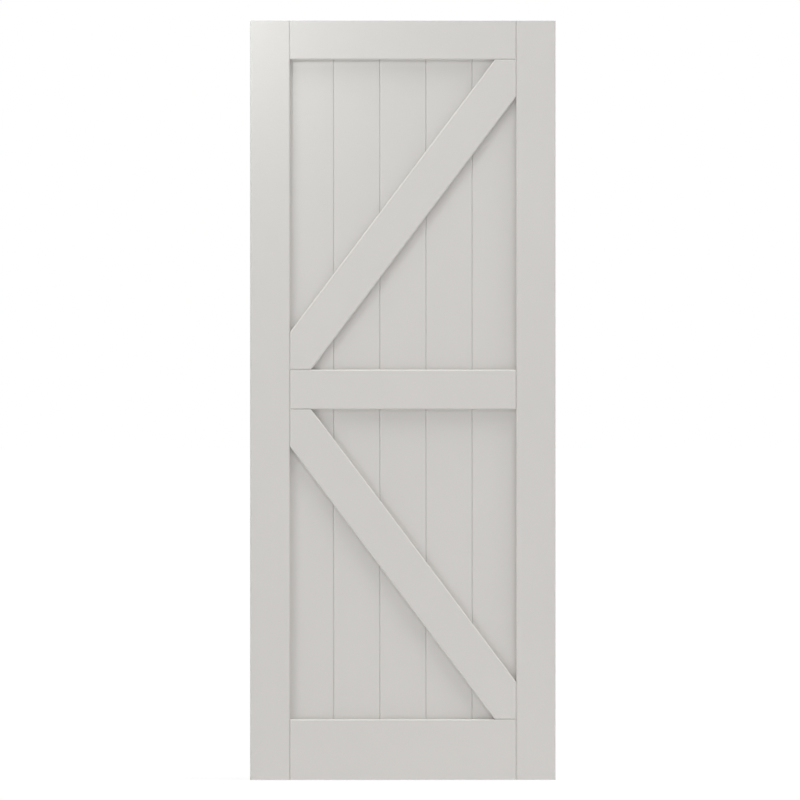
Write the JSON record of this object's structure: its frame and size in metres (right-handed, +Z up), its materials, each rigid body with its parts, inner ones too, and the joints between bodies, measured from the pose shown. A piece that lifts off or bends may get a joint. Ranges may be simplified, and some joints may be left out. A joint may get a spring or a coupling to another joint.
{
  "type": "sliding barn door",
  "caption": "Painted sliding barn door leaf: grooved stiles and rails hold V-jointed boards, and flush diagonal braces form a K on both faces.",
  "frame": {"origin": "middle of the bottom edge, half way through the thickness", "axes": "seen from the front, which faces -Y, +X is to the right and +Z is up; +Y runs from front to back"},
  "size_m": [0.82, 0.04, 2.04],
  "materials": {
    "frame_paint": "satin warm grey paint",
    "board_paint": "satin warm grey paint",
    "brace_paint": "satin warm grey paint",
    "dowel_wood": "bare hardwood",
    "pin_steel": "bright drawn wire"
  },
  "bodies": {
    "root": {"left_stile": "frame_paint", "right_stile": "frame_paint", "top_rail": "frame_paint", "middle_rail": "frame_paint", "bottom_rail": "frame_paint", "upper_board_1": "board_paint", "upper_board_2": "board_paint", "upper_board_3": "board_paint", "upper_board_4": "board_paint", "upper_board_5": "board_paint", "lower_board_1": "board_paint", "lower_board_2": "board_paint", "lower_board_3": "board_paint", "lower_board_4": "board_paint", "lower_board_5": "board_paint", "upper_front_brace": "brace_paint", "upper_back_brace": "brace_paint", "lower_front_brace": "brace_paint", "lower_back_brace": "brace_paint", "top_rail_dowels": "dowel_wood", "middle_rail_dowels": "dowel_wood", "bottom_rail_dowels": "dowel_wood", "upper_brace_pins": "pin_steel", "lower_brace_pins": "pin_steel"}
  },
  "joints": []
}
